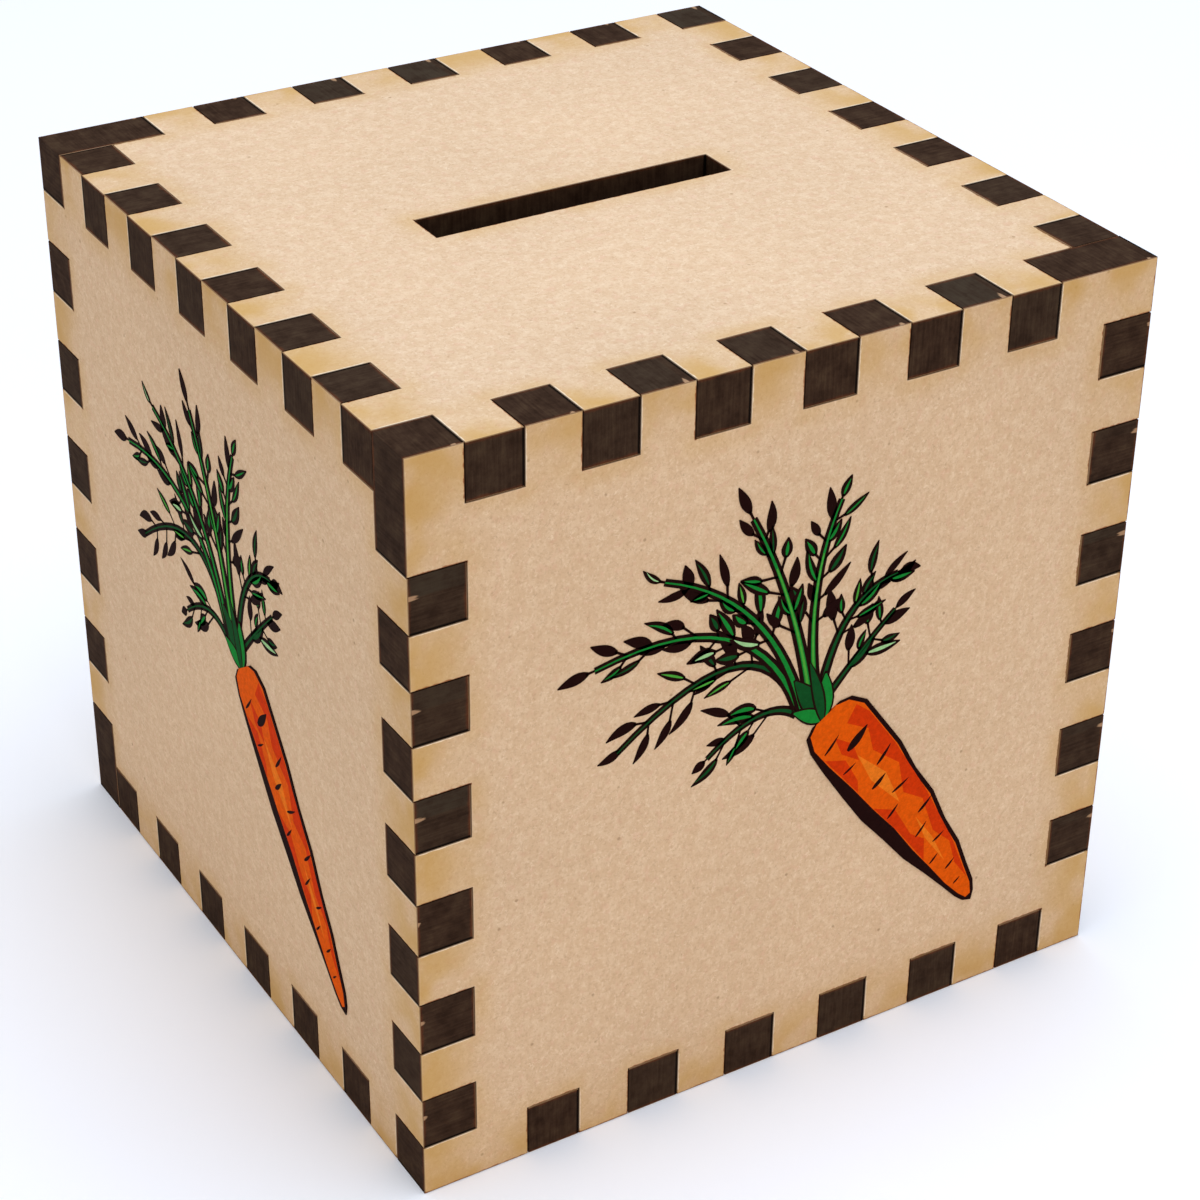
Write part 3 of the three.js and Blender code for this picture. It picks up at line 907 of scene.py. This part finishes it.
def leaf(start, heading, length, width, curl, grow=0.0, steps=7):     # outline of a pointed leaf
    ahead = direction(heading)
    side = Vector((-ahead.y, ahead.x))
    line, halfWidths = [], []
    for at in range(steps + 1):
        part = at / steps
        line.append(start + ahead * ((length + 2 * grow) * part - grow)
                    + side * curl * length * part ** 2)
        halfWidths.append((width / 2 + grow) * math.sin(math.pi * (0.06 + 0.90 * part) ** 0.8))
    return ribbon(line, halfWidths)


def drawCarrot():                            # every patch of ink: its colour, its layer and its outline
    s = printSettings
    chance = random.Random(s["drawingSeed"])
    patches = []
    layer = 1

    for start, bend, end, foot, pairs in s["fronds"]:
        line = stalk(start, bend, end)
        widths = [foot * (1 - s["stalkTaper"] * at / (len(line) - 1)) for at in range(len(line))]
        leaves = []
        for pair in range(pairs + 1):
            part = s["leafStart"] + s["leafSpan"] * pair / pairs
            at = part * (len(line) - 1)
            place = line[int(at)].lerp(line[min(int(at) + 1, len(line) - 1)], at % 1)
            ahead = line[min(int(at) + 1, len(line) - 1)] - line[int(at) - 1]
            heading = math.atan2(ahead.y, ahead.x)
            taper = 1.16 - 0.45 * part
            for side in (1, -1):
                if pair == pairs and side == -1:
                    continue
                spread = 0 if pair == pairs else side * math.radians(chance.uniform(*s["leafSpread"]))
                length = s["leafLength"] * taper * chance.uniform(*s["leafLengths"])
                width = s["leafWidth"] * taper * chance.uniform(*s["leafWidths"])
                twig = chance.uniform(*s["twig"]) * taper
                root = place + direction(heading + spread) * twig
                curl = -side * chance.uniform(*s["leafCurl"])
                leaves.append((place, root, heading + spread * 0.8, length, width, curl, chance.random()))

        patches.append(("dark ink", layer, ribbon(line, [width + s["stroke"] for width in widths])))
        for place, root, heading, length, width, curl, pickInk in leaves:
            twigLine = ribbon([place, place.lerp(root, 0.5), root], s["twigWidths"])
            patches.append(("dark ink", layer, twigLine))
            patches.append(("dark ink", layer, leaf(root, heading, length, width, curl, s["stroke"])))
            ink = next((ink for share, ink in s["leafInks"] if pickInk < share), None)
            if ink:
                green = leaf(root, heading, length * 0.92, width * s["leafGreen"], curl)
                patches.append((ink, layer + 1, green))
        ink = "green ink" if foot > s["greenFoot"] else "deep green ink"
        patches.append((ink, layer + 1, ribbon(line, [width * s["stalkGreen"] for width in widths])))
        if foot > s["limeFoot"]:
            reach = s["limeReach"]
            lime = ribbon(line[reach], [width * s["stalkLime"] for width in widths[reach]])
            patches.append(("lime ink", layer + 2, lime))
        layer += 3

    # the tuft's foot, where the stalks meet the root
    foot = s["crown"] + s["tuftFoot"]
    for degrees, length, width, ink in s["tuft"]:
        heading = math.radians(degrees)
        patches.append(("dark ink", layer, leaf(foot, heading, length, width, 0.08, s["tuftStroke"])))
        patches.append((ink, layer + 1, leaf(foot, heading, length, width, 0.08)))
        layer += 2

    # root: dark outline, heavier on its left flank, then the colours and creases
    along = [stop[0] for stop in s["flanks"]]
    shadowStart, shadowLength = s["shadowReach"]
    left = []
    for place in along:
        part = min(max((place - shadowStart) / shadowLength, 0), 1)
        left.append(rootPoint(place, -1, s["outline"] + s["shadow"] * math.sin(math.pi * part)))
    right = [rootPoint(place, 1, s["outline"]) for place in along]
    axis = s["tip"] - s["crown"]
    end = rootPoint(1.0, 0) + axis.normalized() * s["pointLength"]
    patches.append(("dark ink", layer, left + [end] + right[::-1]))
    patches.append(("orange ink", layer + 1, [rootPoint(place, -1) for place in along]
                    + [rootPoint(place, 1) for place in along[::-1]]))
    for name, ink in (("blush", "red-orange ink"), ("glow", "pale orange ink")):
        for shape in s[name]:
            patches.append((ink, layer + 2, [rootPoint(*corner) for corner in shape]))
    for place, across, length, width, slant in s["creases"]:
        heading = math.atan2(axis.x, -axis.y) + math.radians(slant)
        middle = rootPoint(place, across)
        start = middle - direction(heading) * length / 2
        patches.append(("dark ink", layer + 3, leaf(start, heading, length, width, 0.10)))
    return patches


def inkPatches(name, ink, patches):          # one object with every patch of one ink
    s = printSettings
    deselectAll()
    scale = boxSide / (s["faceSide"] * mm)
    bpy.ops.mesh.primitive_plane_add(size=1 * mm)
    piece = bpy.context.object
    piece.name = name
    startEdit(piece, "VERT")
    bpy.ops.mesh.select_all(action="SELECT")
    bpy.ops.mesh.delete(type="VERT")
    for layer, points in patches:
        bpy.ops.mesh.select_all(action="DESELECT")
        bpy.ops.mesh.primitive_circle_add(vertices=len(points), radius=1 * mm, fill_type="NGON")
        shape = bmesh.from_edit_mesh(piece.data)
        around = sum(a.cross(b) for a, b in zip(points, points[1:] + points[:1]))
        placed = points if around > 0 else points[::-1]
        ring = next(face for face in shape.faces if face.select)
        for vert, point in zip(ring.verts, placed):
            vert.co = (point.x * scale, point.y * scale, -s["sunk"])
        bmesh.update_edit_mesh(piece.data)
        bpy.ops.mesh.extrude_region_move(TRANSFORM_OT_translate={
            "value": (0, 0, s["sunk"] + layer * s["layer"])})
    bpy.ops.mesh.select_all(action="SELECT")
    bpy.ops.mesh.normals_make_consistent(inside=False)
    endEdit()
    piece.data.materials.append(printedInk(ink, s["inks"][ink]))
    return piece


def printCarrots():
    s = printSettings
    patches = [(ink, layer, [point * mm for point in points]) for ink, layer, points in drawCarrot()]
    layers = [inkPatches("ink", ink, [(layer, points) for name, layer, points in patches if name == ink])
              for ink in s["inks"]]
    deselectAll()
    for piece in layers:
        piece.select_set(True)
    bpy.context.view_layer.objects.active = layers[0]
    bpy.ops.object.join()
    drawing = bpy.context.object
    for face, rightWay, outward in (("front", Vector((1, 0, 0)), Vector((0, -1, 0))),
                                    ("left", Vector((0, -1, 0)), Vector((-1, 0, 0)))):
        printed = drawing.copy()
        printed.data = drawing.data.copy()
        printed.name = "carrot_print_" + face
        bpy.context.scene.collection.objects.link(printed)
        turn = Matrix((rightWay, Vector((0, 0, 1)), outward)).transposed().to_4x4()
        base = Vector((boxCentre.x, boxCentre.y, boxLow.z)) + outward * boxSide / 2
        settle(printed, Matrix.Translation(base) @ turn)
        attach(printed, "box")
    bpy.data.objects.remove(drawing)
    return len(patches)


print(printCarrots(), "patches of ink printed on each of two boards")


# floor, light and camera

stageSettings = {
    "floor": "#fafcff",
    "floorSide": 8.0,            # metres
    "floorDrop": 0.03 * mm,      # keeps the floor out of the base board's own plane
    "openingSide": boxSide - 0.5 * mm,
    "cameraPlace": Vector((-141.5, -238.3, 202.1)) * mm,
    "cameraAim": Vector((1.0, -4.05, 37.1)) * mm,
    "cameraRoll": 0.6,           # degrees
    "lens": 87.0,                # mm on a 36 mm wide sensor
    "skyColour": "#fff3e0",
    "sky": 0.485,
    # name: place and size in metres, power in watts, colour
    "lights": {
        "ceiling softbox": ((0.05, -0.05, 0.9), 0.9, 9.5, "#d3e5ff"),
        "front softbox": ((-0.1, -0.95, 0.3), 0.8, 1.2, "#ffd298"),
        "left softbox": ((-0.95, -0.15, 0.4), 0.8, 0.40, "#ffc880"),
    },
}


def setStage():
    s = stageSettings
    deselectAll()
    bpy.ops.mesh.primitive_plane_add(
        size=s["floorSide"], location=(boxCentre.x, boxCentre.y, boxLow.z - s["floorDrop"]))
    floor = bpy.context.object
    floor.name = "floor"
    startEdit(floor)             # an opening under the box, so that the bung can come out
    bpy.ops.mesh.select_all(action="SELECT")
    bpy.ops.mesh.inset(thickness=(s["floorSide"] - s["openingSide"]) / 2, depth=0)
    bpy.ops.mesh.delete(type="FACE")
    endEdit()
    material = newMaterial("matt white floor")
    shader = addNode(material, "ShaderNodeBsdfPrincipled", {
        "Base Color": linear(s["floor"]), "Roughness": 0.9, "Specular IOR Level": 0.1})
    floor.data.materials.append(finishMaterial(material, shader))

    for name, (place, size, power, colour) in s["lights"].items():
        light = bpy.data.lights.new(name, "AREA")
        light.size = size
        light.energy = power
        light.color = linear(colour)[:3]
        lamp = bpy.data.objects.new(name, light)
        bpy.context.scene.collection.objects.link(lamp)
        lamp.location = place
        lamp.rotation_euler = (boxCentre - lamp.location).to_track_quat("-Z", "Y").to_euler()

    world = bpy.data.worlds.new("white room")
    world.use_nodes = True
    world.node_tree.nodes["Background"].inputs["Color"].default_value = linear(s["skyColour"])
    world.node_tree.nodes["Background"].inputs["Strength"].default_value = s["sky"]
    bpy.context.scene.world = world

    lens = bpy.data.cameras.new("camera")
    lens.lens = s["lens"]
    lens.sensor_width = 36
    lens.clip_start = 0.01
    camera = bpy.data.objects.new("camera", lens)
    bpy.context.scene.collection.objects.link(camera)
    aim = (s["cameraAim"] - s["cameraPlace"]).to_track_quat("-Z", "Y").to_matrix().to_4x4()
    roll = Matrix.Rotation(math.radians(s["cameraRoll"]), 4, "Z")
    camera.matrix_world = Matrix.Translation(s["cameraPlace"]) @ aim @ roll
    bpy.context.scene.camera = camera
    bpy.context.scene.view_settings.view_transform = "Standard"


setStage()
print("stage set")
